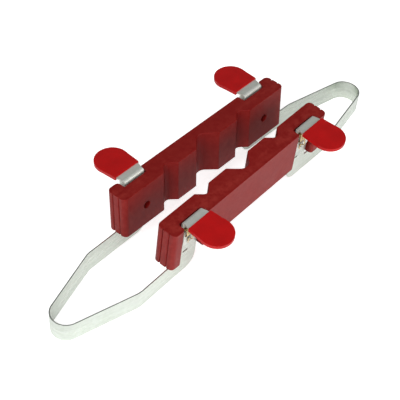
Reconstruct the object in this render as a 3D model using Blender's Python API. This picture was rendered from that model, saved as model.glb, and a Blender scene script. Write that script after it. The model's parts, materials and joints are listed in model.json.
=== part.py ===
# Frame grip: two notched soft jaws for a bench vice, joined by two spring-steel loops.
# Each jaw has two sprung finger levers with dipped tips, which lie on top of the vice jaws.
# +X runs along the jaws, +Y from the front jaw to the rear one, +Z is up, z = 0 is the bench.
import bpy
import bmesh
from math import acos, atan2, cos, hypot, pi, radians, sin, sqrt, tan
from mathutils import Matrix, Vector

mm = 0.001
gap = 0.3 * mm                       # clearance between pieces that touch on the real object

# jaw blocks
jawLength = 152.4 * mm
jawThickness = 15.3 * mm
jawHeight = 32.7 * mm
jawHalfGap = 10.3 * mm               # from the middle to each inner face, along its bottom edge
splay = radians(3.2)                 # each jaw leans outwards by this much
toeIn = radians(0.95)                # each jaw turns towards the other at its right-hand end
cornerRadius = 3.3 * mm
grooveDepth = 1.0 * mm               # two grooves split each end face into three ribs
grooveHalfWidth = 0.55 * mm
notches = (                          # offset from the middle, half chord and bottom radius
    (-34.6 * mm, 6.7 * mm, 4.0 * mm),
    (0.0, 10.9 * mm, 6.5 * mm),
    (34.6 * mm, 6.7 * mm, 4.0 * mm),
)

# recess at each end of a jaw's outer face
recessX = 56.6 * mm                  # recess centre from the middle of the jaw
recessWidth = 20.2 * mm
recessFloor = 10.0 * mm              # measured from the inner face
screwHeight = jawHeight / 2
holeRadius = 2.75 * mm

# spring loops
stripThickness = 0.9 * mm
stripWidth = 14.8 * mm
stripDrop = 2.9 * mm                 # from the strip's top edge up to the block's inner bottom edge
stripDroop = radians(1.5)            # each loop sinks towards its nose
loopReach = 150 * mm                 # from the middle to the outside of a loop's nose
noseRadius = 9.9 * mm
armBendX = 96.8 * mm                 # where an arm starts to turn inwards
armBendRadius = 16 * mm
tabHalfWidth = 8.6 * mm
tabTop = 21.5 * mm                   # above the block's bottom
tabCornerRadius = 2.5 * mm
tabHeelRadius = 9 * mm
slotOffset = 2.2 * mm                # a narrow level slot low in the tab, beside its middle
slotHeight = 2.6 * mm
slotHalfWidth = 2.2 * mm
slotHalfHeight = 0.55 * mm

# hinge of a finger lever, in the jaw's own frame
pinOut = 13.0 * mm                   # from the inner face
pinHeight = 25.5 * mm
pinRadius = 1.0 * mm
pinHalfLength = 9.8 * mm
pinHeadRadius = 1.5 * mm
pinHeadHeight = 0.4 * mm
bracketSheet = 0.8 * mm
bracketHalfWidth = 7.0 * mm
bracketFoot = 11.5 * mm
bracketCrest = 22.2 * mm
bracketEarRadius = 2.2 * mm
bracketKneeOut = 1.9 * mm            # foot of a bracket's ear, out from its base
bracketKneeHeight = 19 * mm
bracketEars = (-7.0 * mm, 3.3 * mm)  # where each ear starts along the pin; the rest is the coil's
leverSheet = 1.0 * mm
leverEarRadius = 2.4 * mm
leverTop = 34.85 * mm
leverBack = 10.4 * mm                # back of the upright leg, close to the recess floor
leverFoot = 28.0 * mm                # bottom of the upright leg
leverBendRadius = 4.0 * mm
legHalfWidth = 8.4 * mm
leverEars = (-8.4 * mm, 2.0 * mm)
tongueEnd = 40.7 * mm
gripWall = 0.65 * mm
gripStart = 17.0 * mm
gripEnd = 41.9 * mm
gripEdge = 0.8 * mm
sideStep = 4.5 * mm                  # spacing of the half widths below, from an outline's start
tongueSides = (9.3 * mm, 9.3 * mm, 9.5 * mm, 9.8 * mm, 10.2 * mm)
gripSides = (10.25 * mm, 10.8 * mm, 11.0 * mm, 11.5 * mm)
coilRadius = 1.75 * mm
coilTurns = 4
coilSamples = 12
coilStart = 4.75 * mm                # the coil sits on the pin's outer end, past the bracket's ear
lowerLegEnd = 13.0 * mm
wireRadius = 0.35 * mm

# screw and its threaded insert
shankRadius = 1.5 * mm
headRadius = 2.8 * mm
headHeight = 1.6 * mm
headShoulder = 0.8 * mm
headTopRadius = 2.0 * mm
screwTip = 4.5 * mm
screwChamfer = 0.4 * mm
insertStart = 3.0 * mm
insertEnd = 9.6 * mm
insertRadius = holeRadius - gap

tabMiddle = recessFloor + gap + stripThickness / 2
bracketBase = tabMiddle + stripThickness / 2 + gap
tongueStart = leverBack + leverBendRadius - leverSheet / 2
tabOuterX = recessX + tabHalfWidth
stripRise = (loopReach - tabOuterX) * tan(stripDroop)
blockBottom = stripRise + stripWidth + stripDrop


def clearScene():
    for item in list(bpy.data.objects):
        bpy.data.objects.remove(item)


def makeMaterial(name, color, roughness, metallic):
    material = bpy.data.materials.new(name)
    material.use_nodes = True
    shader = material.node_tree.nodes["Principled BSDF"]
    shader.inputs["Base Color"].default_value = (*color, 1)
    shader.inputs["Roughness"].default_value = roughness
    shader.inputs["Metallic"].default_value = metallic
    return material


def addObject(name, mesh, material=None, parent=None, location=(0, 0, 0)):
    item = bpy.data.objects.new(name, mesh)
    bpy.context.collection.objects.link(item)
    if material:
        item.data.materials.clear()
        item.data.materials.append(material)
    item.parent = parent
    item.location = location
    return item


def meshFrom(name, shape):
    bmesh.ops.recalc_face_normals(shape, faces=shape.faces)
    mesh = bpy.data.meshes.new(name)
    shape.to_mesh(mesh)
    shape.free()
    return mesh


# points of an arc in the plane, from one angle to another
def arc(center, radius, start, end, steps):
    points = []
    for step in range(steps + 1):
        angle = start + (end - start) * step / steps
        points.append((center[0] + radius * cos(angle), center[1] + radius * sin(angle)))
    return points


# a closed outline pushed along a third direction; place turns an outline point into a 3-D one
def prism(name, outline, depth, place):
    shape = bmesh.new()
    face = shape.faces.new([shape.verts.new(place(*point)) for point in outline])
    pushed = bmesh.ops.extrude_face_region(shape, geom=[face])
    moved = [part for part in pushed["geom"] if isinstance(part, bmesh.types.BMVert)]
    bmesh.ops.translate(shape, vec=depth, verts=moved)
    return meshFrom(name, shape)


def flat(x, y):
    return Vector((x, y, 0))


def sideways(y, z):
    return Vector((0, y, z))


# a round solid or ring about the Y axis, from rows of (distance along Y, radius)
def turned(name, profile, steps):
    shape = bmesh.new()
    rim = [shape.verts.new((radius, along, 0)) for along, radius in profile]
    edges = [shape.edges.new(pair) for pair in zip(rim, rim[1:])]
    bmesh.ops.spin(shape, geom=rim + edges, cent=(0, 0, 0), axis=(0, 1, 0), angle=2 * pi,
                   steps=steps, use_merge=True)
    bmesh.ops.remove_doubles(shape, verts=shape.verts, dist=0.01 * mm)
    return meshFrom(name, shape)


def rod(name, radius, start, end, steps, axis="Y"):
    mesh = turned(name, [(start, 0), (start, radius), (end, radius), (end, 0)], steps)
    if axis == "X":
        mesh.transform(Matrix.Rotation(-pi / 2, 4, "Z"))
    return mesh


def box(name, low, high):
    outline = [(low[0], low[1]), (high[0], low[1]), (high[0], high[1]), (low[0], high[1])]
    return prism(name, outline, (0, 0, high[2] - low[2]), lambda x, y: Vector((x, y, low[2])))


def moved(mesh, offset):
    mesh.transform(Matrix.Translation(offset))
    return mesh


# joins or cuts meshes that share one frame, and returns the result as a new mesh
def combine(name, base, steps):
    item = addObject(name, base)
    tools = []
    for number, (operation, mesh) in enumerate(steps):
        tool = addObject(f"{name}_tool_{number}", mesh)
        modifier = item.modifiers.new(f"step {number}", "BOOLEAN")
        modifier.operation = operation
        modifier.solver = "EXACT"
        modifier.object = tool
        tools.append(tool)
    graph = bpy.context.evaluated_depsgraph_get()
    result = bpy.data.meshes.new_from_object(item.evaluated_get(graph))
    result.name = name
    for used in [item] + tools:
        bpy.data.objects.remove(used)
    return result


# one notch in the inner face: 45 degree flanks that run into a round bottom
def notchOutline(center, halfChord, radius):
    depth = halfChord - radius * sqrt(2)
    bottom = arc((center, depth), radius, radians(135), radians(45), 8)
    return [(center - halfChord, 0)] + bottom + [(center + halfChord, 0)]


# right-hand end face, from the outer side to the inner side: three ribs with two grooves
def endOutline():
    end = jawLength / 2
    corner = end - cornerRadius
    points = arc((corner, jawThickness - cornerRadius), cornerRadius, pi / 2, 0, 6)
    for groove in (2 / 3, 1 / 3):
        middle = jawThickness * groove
        points += [(end, middle + grooveHalfWidth), (end - grooveDepth, middle),
                   (end, middle - grooveHalfWidth)]
    return points + arc((corner, cornerRadius), cornerRadius, 0, -pi / 2, 6)


def recessOutline(center):
    half = recessWidth / 2
    return [(center - half, jawThickness), (center - half, recessFloor),
            (center + half, recessFloor), (center + half, jawThickness)]


def jawMesh():
    innerFace = []
    for notch in notches:
        innerFace += notchOutline(*notch)
    rightEnd = endOutline()
    leftEnd = [(-x, y) for x, y in reversed(rightEnd)]
    outerFace = recessOutline(-recessX) + recessOutline(recessX)
    outline = leftEnd + outerFace + rightEnd + innerFace[::-1]
    block = prism("jaw", outline, (0, 0, jawHeight), flat)
    cuts = []
    for x in (-recessX, recessX):
        hole = rod("hole", holeRadius, -mm, jawThickness + mm, 24)
        cuts.append(("DIFFERENCE", moved(hole, (x, 0, screwHeight))))
    return combine("jaw", block, cuts)


# height above the bench of a point of a jaw, from its distances out of and up the jaw
def benchHeight(out, up):
    return blockBottom + up * cos(splay) - out * sin(splay)


# distance of an arm's middle from the XZ plane on the bench; side is 1 on the right, -1 on the left
def armOffset(x, side):
    start = (tabMiddle / cos(splay) - blockBottom * tan(splay)) / cos(toeIn)
    return jawHalfGap + start - side * x * tan(toeIn)


# half of a loop's centre line in plan: the bend of the rear arm, then the nose
def loopPath(side):
    noseX = loopReach - stripThickness / 2 - noseRadius
    heading = side * toeIn
    centerX = armBendX - armBendRadius * sin(heading)
    centerY = armOffset(armBendX, side) - armBendRadius * cos(heading)
    span = hypot(noseX - centerX, centerY)
    turn = atan2(noseX - centerX, -centerY) - acos((armBendRadius - noseRadius) / span)
    bend = arc((centerX, centerY), armBendRadius, pi / 2 - heading, pi / 2 - turn, 4)
    nose = arc((noseX, 0), noseRadius, pi / 2 - turn, 0, 10)
    return bend + nose


# columns of the tab in its own plane: (x, lowest z, highest z)
def tabColumns(foot, crest):
    inner = recessX - tabHalfWidth
    outer = recessX + tabHalfWidth
    heel = [(inner + tabHeelRadius * (1 - cos(t)), foot + tabHeelRadius * (1 - sin(t)))
            for t in [radians(15 * step) for step in range(7)]]
    shoulder = [(tabCornerRadius * (1 - cos(t)), crest - tabCornerRadius * (1 - sin(t)))
                for t in [radians(22.5 * step) for step in range(5)]]
    columns = []
    for x, low in heel:
        rise = min(max(x - inner, 0), tabCornerRadius)
        high = crest - tabCornerRadius + sqrt(max(tabCornerRadius ** 2 - (tabCornerRadius - rise) ** 2, 0))
        columns.append((x, low, high))
    for inset, high in shoulder[1:4]:
        x = inner + inset
        reach = tabHeelRadius - inset
        low = foot + tabHeelRadius - sqrt(tabHeelRadius ** 2 - reach ** 2)
        columns.append((x, low, high))
    for inset, high in shoulder:
        columns.append((outer - inset, foot, high))
    return sorted(columns)


# spring loop: a flat blank bent in plan, then tapered so that each arm lies in its jaw's lean
def loopMesh(side):
    taper = tan(splay) / cos(toeIn) / armOffset(recessX, side)
    crest = benchHeight(tabMiddle, tabTop)
    shape = bmesh.new()
    columns = []
    for x, low, high in tabColumns(stripRise, crest):
        y = armOffset(x, side)
        columns.append([(x, y, low), (x, y, stripRise + stripWidth), (x, y, high)])
    for x, y in loopPath(side):
        low = stripRise - (x - tabOuterX) * tan(stripDroop)
        columns.append([(x, y, low), (x, y, low + stripWidth)])
    front = [[(x, -y, z) for x, y, z in column] for column in reversed(columns[:-1])]
    rows = []
    for column in columns + front:
        rows.append([shape.verts.new((side * x, y * (1 + z * taper), z)) for x, y, z in column])
    for left, right in zip(rows, rows[1:]):
        for level in range(min(len(left), len(right)) - 1):
            shape.faces.new((left[level], right[level], right[level + 1], left[level + 1]))
    sheet = addObject("sheet", meshFrom("sheet", shape))
    solid = sheet.modifiers.new("thickness", "SOLIDIFY")
    solid.thickness = stripThickness
    solid.offset = 0
    graph = bpy.context.evaluated_depsgraph_get()
    mesh = bpy.data.meshes.new_from_object(sheet.evaluated_get(graph))
    bpy.data.objects.remove(sheet)
    return mesh


# holes of a tab, in a jaw's frame: one for the screw and a narrow slot low down
def tabCutters(x, side):
    near = tabMiddle - stripThickness
    far = tabMiddle + stripThickness
    hole = rod("hole", shankRadius + gap, near, far, 20)
    slot = box("slot", (-slotHalfWidth, near, -slotHalfHeight), (slotHalfWidth, far, slotHalfHeight))
    moved(hole, (x, 0, screwHeight))
    moved(slot, (x + slotOffset, 0, slotHeight))
    for mesh in (hole, slot):
        mesh.transform(side)
    return [("DIFFERENCE", hole), ("DIFFERENCE", slot)]


def bracketMesh():
    half = bracketHalfWidth
    r = bracketEarRadius
    back = bracketBase
    ear = [(back, bracketFoot), (back + bracketKneeOut, bracketFoot), (pinOut + r, bracketKneeHeight)]
    ear += arc((pinOut, pinHeight), r, 0, pi, 10)
    ear += [(pinOut - r, bracketCrest + mm), (back, bracketCrest)]
    base = box("bracket", (-half, back, bracketFoot), (half, back + bracketSheet, bracketCrest))
    steps = []
    for start in bracketEars:
        side = prism("ear", ear, (bracketSheet, 0, 0), sideways)
        steps.append(("UNION", moved(side, (start, 0, 0))))
    pinHole = moved(rod("pin hole", pinRadius + gap, -half - mm, half + mm, 20, "X"),
                    (0, pinOut, pinHeight))
    screwHole = rod("screw hole", shankRadius + gap, back - mm, back + bracketSheet + mm, 20)
    moved(screwHole, (0, 0, screwHeight))
    steps += [("DIFFERENCE", pinHole), ("DIFFERENCE", screwHole)]
    return combine("bracket", base, steps)


# a tongue's outline seen from above: straight sides from start, then a rounded end
def tongueOutline(start, sides, end):
    right = [(half, start + step * sideStep) for step, half in enumerate(sides)]
    shoulder = right[-1][1]
    tip = [(sides[-1] * cos(turn), shoulder + (end - shoulder) * sin(turn))
           for turn in [pi * step / 18 for step in range(1, 18)]]
    left = [(-x, y) for x, y in reversed(right)]
    return right + tip + left


# finger lever about its pin: an upright leg bent over into the tongue, with an ear at each side
def leverMesh():
    center = (leverBack + leverBendRadius, leverTop - leverBendRadius)
    outside = arc(center, leverBendRadius, pi, pi / 2, 6)
    inside = arc(center, leverBendRadius - leverSheet, pi / 2, pi, 6)
    hook = [(leverBack, leverFoot)] + outside + inside + [(leverBack + leverSheet, leverFoot)]
    leg = moved(prism("leg", hook, (2 * legHalfWidth, 0, 0), sideways), (-legHalfWidth, 0, 0))
    under = leverTop - leverSheet
    outline = tongueOutline(tongueStart, tongueSides, tongueEnd)
    tongue = prism("tongue", outline, (0, 0, leverSheet), lambda x, y: Vector((x, y, under)))
    ear = [(pinOut + leverEarRadius, under + leverSheet / 2)]
    ear += arc(center, leverBendRadius - leverSheet / 2, pi / 2, pi, 6)
    ear += arc((pinOut, pinHeight), leverEarRadius, pi, 2 * pi, 12)
    steps = [("UNION", leg)]
    for start in leverEars:
        side = prism("ear", ear, (leverSheet, 0, 0), sideways)
        steps.append(("UNION", moved(side, (start, 0, 0))))
    reach = legHalfWidth + mm
    pinHole = rod("pin hole", pinRadius + gap, -reach, reach, 20, "X")
    steps.append(("DIFFERENCE", moved(pinHole, (0, pinOut, pinHeight))))
    return moved(combine("lever", tongue, steps), (0, -pinOut, -pinHeight))


# dipped tip about the lever's pin: a soft sock, open at its inner end, around the tongue
def gripMesh():
    low = leverTop - leverSheet - gap - gripWall
    high = leverTop + gap + gripWall
    outer = tongueOutline(gripStart, gripSides, gripEnd)
    sock = addObject("sock", prism("sock", outer, (0, 0, high - low), lambda x, y: Vector((x, y, low))))
    edge = sock.modifiers.new("soft edge", "BEVEL")
    edge.width = gripEdge
    edge.segments = 2
    edge.limit_method = "ANGLE"
    edge.angle_limit = radians(40)
    graph = bpy.context.evaluated_depsgraph_get()
    rounded = bpy.data.meshes.new_from_object(sock.evaluated_get(graph))
    bpy.data.objects.remove(sock)
    inner = tongueOutline(tongueStart, [half + gap for half in tongueSides], tongueEnd + gap)
    cavity = prism("cavity", inner, (0, 0, leverSheet + 2 * gap),
                   lambda x, y: Vector((x, y, leverTop - leverSheet - gap)))
    sleeve = combine("grip", rounded, [("DIFFERENCE", cavity)])
    return moved(sleeve, (0, -pinOut, -pinHeight))


def pinMesh():
    headStart = pinHalfLength - pinHeadHeight
    profile = [(-pinHalfLength, 0), (-pinHalfLength, pinRadius), (headStart, pinRadius),
               (headStart, pinHeadRadius), (pinHalfLength, pinHeadRadius), (pinHalfLength, 0)]
    mesh = turned("pin", profile, 16)
    mesh.transform(Matrix.Rotation(-pi / 2, 4, "Z"))
    return mesh


def screwMesh():
    seat = bracketBase + bracketSheet + gap
    profile = [(screwTip, 0), (screwTip, shankRadius - screwChamfer),
               (screwTip + screwChamfer, shankRadius), (seat, shankRadius), (seat, headRadius),
               (seat + headShoulder, headRadius), (seat + headHeight, headTopRadius),
               (seat + headHeight, 0)]
    return turned("screw", profile, 20)


def insertMesh():
    bore = shankRadius + gap
    profile = [(insertStart, bore), (insertStart, insertRadius), (insertEnd, insertRadius),
               (insertEnd, bore), (insertStart, bore)]
    return turned("insert", profile, 20)


# torsion spring about the pin: a lower leg on the bracket, the coil, an upper leg under the tongue
def springPoints():
    pitch = 2 * wireRadius + gap
    coilEnd = coilStart + coilTurns * pitch
    under = leverTop - leverSheet - gap - wireRadius - pinHeight
    overBase = bracketBase + bracketSheet + gap + wireRadius - pinOut
    points = [(coilStart, overBase, lowerLegEnd - pinHeight),
              (coilStart, overBase + gap, bracketKneeHeight - pinHeight)]
    for step in range(coilTurns * coilSamples + 1):
        turn = 2 * pi * step / coilSamples
        x = coilStart + pitch * step / coilSamples
        points.append((x, coilRadius * cos(turn), coilRadius * sin(turn)))
    points += [(coilEnd, coilRadius, under - gripEdge),
               (coilEnd, coilRadius + gripEdge, under)]
    return points


def springObject(name, material, parent, location):
    wire = bpy.data.curves.new(name, "CURVE")
    wire.dimensions = "3D"
    wire.bevel_depth = wireRadius
    wire.bevel_resolution = 1
    wire.use_fill_caps = True
    points = springPoints()
    line = wire.splines.new("POLY")
    line.points.add(len(points) - 1)
    for place, point in zip(line.points, points):
        place.co = (*point, 1)
    return addObject(name, wire, material, parent, location)


def jawFrame(name, facing):
    frame = addObject(name, None)
    frame.location = (0, facing * jawHalfGap, blockBottom)
    frame.rotation_euler = (-splay, 0, -toeIn if facing > 0 else pi + toeIn)
    return frame


clearScene()
redNylon = makeMaterial("red nylon", (0.2, 0.012, 0.014), 0.45, 0)
redVinyl = makeMaterial("red vinyl", (0.42, 0.007, 0.009), 0.35, 0)
springSteel = makeMaterial("spring steel", (0.68, 0.72, 0.68), 0.25, 1)
zincSteel = makeMaterial("zinc plated steel", (0.55, 0.54, 0.5), 0.35, 1)
brassWire = makeMaterial("brass wire", (0.66, 0.47, 0.16), 0.3, 1)

jaw = jawMesh()
pinMiddle = (pinOut, pinHeight)
shared = {                            # mesh, material, and place out of and up the jaw
    "finger_lever": (leverMesh(), zincSteel, pinMiddle),
    "finger_grip": (gripMesh(), redVinyl, pinMiddle),
    "hinge_pin": (pinMesh(), zincSteel, pinMiddle),
    "hinge_bracket": (bracketMesh(), zincSteel, (0, 0)),
    "fixing_screw": (screwMesh(), zincSteel, (0, screwHeight)),
    "threaded_insert": (insertMesh(), brassWire, (0, screwHeight)),
}

frames = {}
for row, facing in (("rear", 1), ("front", -1)):
    frame = jawFrame(f"{row}_jaw_frame", facing)
    frames[row] = frame
    addObject(f"{row}_jaw_block", jaw, redNylon, frame)
    for side, way in (("left", -facing), ("right", facing)):
        for piece, (mesh, material, place) in shared.items():
            addObject(f"{row}_{side}_{piece}", mesh, material, frame, (way * recessX, *place))
        springObject(f"{row}_{side}_torsion_spring", brassWire, frame, (way * recessX, *pinMiddle))

bpy.context.view_layer.update()
for name, side in (("right", 1), ("left", -1)):
    cutters = tabCutters(side * recessX, frames["rear"].matrix_world)
    cutters += tabCutters(-side * recessX, frames["front"].matrix_world)
    addObject(f"{name}_spring_loop", combine("loop", loopMesh(side), cutters), springSteel)
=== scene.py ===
# Two notched soft jaws for a bench vice, with spring-steel loops and sprung, dipped finger tips.
# Every piece is drawn in its jaw's own frame (x along the jaw, y out of it, z up it) and then set in place.
import json
from math import acos, atan2, cos, exp, hypot, pi, radians, sin, tan

import bmesh
import bpy
from mathutils import Matrix, Vector


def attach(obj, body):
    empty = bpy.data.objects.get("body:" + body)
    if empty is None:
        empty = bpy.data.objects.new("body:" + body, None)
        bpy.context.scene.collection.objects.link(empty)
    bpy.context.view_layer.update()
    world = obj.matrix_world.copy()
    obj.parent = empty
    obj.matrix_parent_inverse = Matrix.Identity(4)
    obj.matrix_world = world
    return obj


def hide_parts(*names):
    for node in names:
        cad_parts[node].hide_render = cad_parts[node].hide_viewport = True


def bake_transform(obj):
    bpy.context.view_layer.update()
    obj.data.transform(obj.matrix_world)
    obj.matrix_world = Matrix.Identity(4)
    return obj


mm = 0.001
nudge = 0.01 * mm

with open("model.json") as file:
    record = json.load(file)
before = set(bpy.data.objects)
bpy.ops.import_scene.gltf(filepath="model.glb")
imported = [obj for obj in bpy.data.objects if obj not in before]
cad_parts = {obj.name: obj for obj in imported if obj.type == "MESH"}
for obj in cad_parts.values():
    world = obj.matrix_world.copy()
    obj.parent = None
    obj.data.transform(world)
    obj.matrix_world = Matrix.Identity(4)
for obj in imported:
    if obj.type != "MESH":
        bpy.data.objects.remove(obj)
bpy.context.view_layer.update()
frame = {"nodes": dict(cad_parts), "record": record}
record = frame["record"]
print("frame loaded:", len(frame["nodes"]), "CAD nodes")


def selectOnly(piece):
    bpy.ops.object.select_all(action="DESELECT")
    piece.select_set(True)
    bpy.context.view_layer.objects.active = piece


def named(name):
    piece = bpy.context.object
    piece.name = name
    piece.data.name = name
    return piece


def applyPlace(piece):
    selectOnly(piece)
    bpy.ops.object.transform_apply(location=True, rotation=True, scale=True)
    return piece


def addCube(name, low, high):
    bpy.ops.object.select_all(action="DESELECT")
    middle = [(a + b) / 2 for a, b in zip(low, high)]
    size = [b - a for a, b in zip(low, high)]
    bpy.ops.mesh.primitive_cube_add(size=1, location=middle, scale=size)
    return applyPlace(named(name))


# a flat sheet, lying down or standing along x, with so many strips across
def addSheet(name, width, length, location, standing=False, strips=1):
    bpy.ops.object.select_all(action="DESELECT")
    bpy.ops.mesh.primitive_grid_add(x_subdivisions=strips, y_subdivisions=1, size=1, location=location)
    piece = named(name)
    piece.scale = (width, length, 1)
    piece.rotation_euler = (pi / 2 if standing else 0, 0, 0)
    return applyPlace(piece)


# a cylinder about the x, y or z axis; four sides give a diamond
def addCylinder(name, radius, length, location, axis="Z", sides=48, stretch=(1, 1, 1)):
    bpy.ops.object.select_all(action="DESELECT")
    turn = {"X": (0, pi / 2, 0), "Y": (pi / 2, 0, 0), "Z": (0, 0, 0)}[axis]
    bpy.ops.mesh.primitive_cylinder_add(vertices=sides, radius=radius, depth=length,
                                        location=location, rotation=turn)
    piece = named(name)
    piece.scale = stretch
    return applyPlace(piece)


# opens edit mode with only the wanted corners, edges or faces selected
def pick(piece, kind, wanted):
    selectOnly(piece)
    bpy.ops.object.mode_set(mode="EDIT")
    bpy.ops.mesh.select_mode(type=kind)
    bpy.ops.mesh.select_all(action="DESELECT")
    shape = bmesh.from_edit_mesh(piece.data)
    parts = {"VERT": shape.verts, "EDGE": shape.edges, "FACE": shape.faces}[kind]
    for part in parts:
        if wanted([part.co] if kind == "VERT" else [corner.co for corner in part.verts]):
            part.select_set(True)
    shape.select_flush_mode()
    bmesh.update_edit_mesh(piece.data)


def doneEditing():
    bpy.ops.object.mode_set(mode="OBJECT")


def near(value, target):
    return abs(value - target) < nudge


def isUpright(points):
    return near(points[0].x, points[1].x) and near(points[0].y, points[1].y)


def roundEdges(piece, wanted, radius, segments):
    pick(piece, "EDGE", wanted)
    bpy.ops.mesh.bevel(offset=radius, segments=segments, affect="EDGES", clamp_overlap=True)
    doneEditing()


def applyModifier(piece, modifier):
    selectOnly(piece)
    bpy.ops.object.modifier_apply(modifier=modifier.name)


# cuts tools out of a piece, or joins them to it, and removes them
def combine(piece, tools, operation="DIFFERENCE"):
    for tool in tools:
        modifier = piece.modifiers.new("combine", "BOOLEAN")
        modifier.operation = operation
        modifier.solver = "EXACT"
        modifier.object = tool
        applyModifier(piece, modifier)
        bpy.data.objects.remove(tool)
    return piece


def thicken(piece, thickness):
    modifier = piece.modifiers.new("thickness", "SOLIDIFY")
    modifier.thickness = thickness
    modifier.offset = 0
    modifier.use_even_offset = True
    applyModifier(piece, modifier)


def mergeAndOrient(piece):
    pick(piece, "VERT", lambda points: True)
    bpy.ops.mesh.remove_doubles(threshold=0.002 * mm)
    bpy.ops.mesh.normals_make_consistent(inside=False)
    doneEditing()


# a fine rounded edge everywhere, then smooth shading that leaves the flats flat
def finish(piece, edge=0, segments=3, limit=35):
    if edge:
        modifier = piece.modifiers.new("soft edges", "BEVEL")
        modifier.width = edge
        modifier.segments = segments
        modifier.limit_method = "ANGLE"
        modifier.angle_limit = radians(limit)
        modifier.use_clamp_overlap = True
        applyModifier(piece, modifier)
    mergeAndOrient(piece)
    bpy.ops.object.shade_smooth_by_angle(angle=radians(42))
    modifier = piece.modifiers.new("flat faces stay flat", "WEIGHTED_NORMAL")
    modifier.keep_sharp = True
    applyModifier(piece, modifier)
    return piece


def extrudeBy(step):
    bpy.ops.mesh.extrude_region_move(TRANSFORM_OT_translate={"value": tuple(step)})


def copyOf(piece, name):
    selectOnly(piece)
    bpy.ops.object.duplicate(linked=False)
    return named(name)


# where a jaw stands, from its face and its left hinge in the frame's record
def jawPlace(row):
    face = next(mount for mount in record["mounts"] if mount["name"] == f"{row}_jaw_face")
    hinges = record["behaviour"]["joints"]
    hinge = next(joint for joint in hinges if joint["name"] == f"{row}_left_finger_hinge")
    along = -Vector(hinge["axis"]).normalized()
    out = Vector(face["axis"]).normalized()
    up = along.cross(out)
    place = Matrix((along, out, up)).transposed().to_4x4()
    place.translation = Vector(face["pos_m"]) - out * jaw["thickness"] - up * jaw["facePointHeight"]
    return place


# inputs are named by label, or i0, i1 by number; a socket is linked, and a value is set
def addNode(tree, kind, settings=None, **inputs):
    node = tree.nodes.new(kind)
    for key, value in (settings or {}).items():
        setattr(node, key, value)
    for key, value in inputs.items():
        socket = node.inputs[int(key[1:])] if key[0] == "i" and key[1:].isdigit() else node.inputs[key]
        if isinstance(value, bpy.types.NodeSocket):
            tree.links.new(value, socket)
        else:
            socket.default_value = value
    return node


def startGroup(name, inputs, outputs):
    tree = bpy.data.node_groups.new(name, "ShaderNodeTree")
    for label, kind, value in inputs:
        socket = tree.interface.new_socket(label, in_out="INPUT", socket_type=kind)
        if value is not None:
            socket.default_value = value
    for label, kind in outputs:
        tree.interface.new_socket(label, in_out="OUTPUT", socket_type=kind)
    return tree, tree.nodes.new("NodeGroupInput"), tree.nodes.new("NodeGroupOutput")


def noise(tree, vector, scale, detail=3.0, roughness=0.5):
    return addNode(tree, "ShaderNodeTexNoise", None, Vector=vector, Scale=scale, Detail=detail,
                   Roughness=roughness)


def calculate(tree, operation, first, second, clamp=False):
    return addNode(tree, "ShaderNodeMath", {"operation": operation, "use_clamp": clamp},
                   i0=first, i1=second).outputs[0]


def remap(tree, value, fromLow, fromHigh, toLow, toHigh):
    node = addNode(tree, "ShaderNodeMapRange", {"clamp": True})
    for label, number in (("Value", value), ("From Min", fromLow), ("From Max", fromHigh),
                          ("To Min", toLow), ("To Max", toHigh)):
        if isinstance(number, bpy.types.NodeSocket):
            tree.links.new(number, node.inputs[label])
        else:
            node.inputs[label].default_value = number
    return node.outputs[0]


def mixColor(tree, share, first, second, blend="MIX"):
    node = tree.nodes.new("ShaderNodeMix")
    node.data_type = "RGBA"
    node.blend_type = blend
    for index, value in ((0, share), (6, first), (7, second)):
        if isinstance(value, bpy.types.NodeSocket):
            tree.links.new(value, node.inputs[index])
        else:
            node.inputs[index].default_value = value
    return node.outputs[2]


# cloudy tone: slow clouds with a fine speckle on top, 0 to 1
def makeCloudGroup():
    tree, entry, out = startGroup(
        "cloudy tone", [("Vector", "NodeSocketVector", None), ("Cloud Scale", "NodeSocketFloat", 60.0),
                        ("Speckle Scale", "NodeSocketFloat", 1500.0),
                        ("Speckle Share", "NodeSocketFloat", 0.3)],
        [("Tone", "NodeSocketFloat")])
    cloud = noise(tree, entry.outputs["Vector"], entry.outputs["Cloud Scale"], 4.0, 0.55)
    speckle = noise(tree, entry.outputs["Vector"], entry.outputs["Speckle Scale"], 2.0, 0.6)
    both = addNode(tree, "ShaderNodeMix", {"data_type": "FLOAT"})
    tree.links.new(entry.outputs["Speckle Share"], both.inputs[0])
    tree.links.new(remap(tree, cloud.outputs[0], 0.3, 0.7, 0, 1), both.inputs[2])
    tree.links.new(remap(tree, speckle.outputs[0], 0.3, 0.7, 0, 1), both.inputs[3])
    tree.links.new(both.outputs[0], out.inputs["Tone"])
    return tree


# fine surface grain: two sizes of small bumps, in bump height
def makeGrainGroup():
    tree, entry, out = startGroup(
        "surface grain", [("Vector", "NodeSocketVector", None), ("Scale", "NodeSocketFloat", 2500.0),
                          ("Stretch", "NodeSocketVector", (1, 1, 1))],
        [("Height", "NodeSocketFloat")])
    stretched = addNode(tree, "ShaderNodeVectorMath", {"operation": "MULTIPLY"},
                        i0=entry.outputs["Vector"], i1=entry.outputs["Stretch"]).outputs[0]
    fine = noise(tree, stretched, entry.outputs["Scale"], 2.0, 0.6)
    wide = noise(tree, stretched, calculate(tree, "MULTIPLY", entry.outputs["Scale"], 0.18), 3.0, 0.5)
    total = calculate(tree, "ADD", calculate(tree, "MULTIPLY", fine.outputs[0], 0.45),
                 calculate(tree, "MULTIPLY", wide.outputs[0], 0.55))
    tree.links.new(total, out.inputs["Height"])
    return tree


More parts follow.
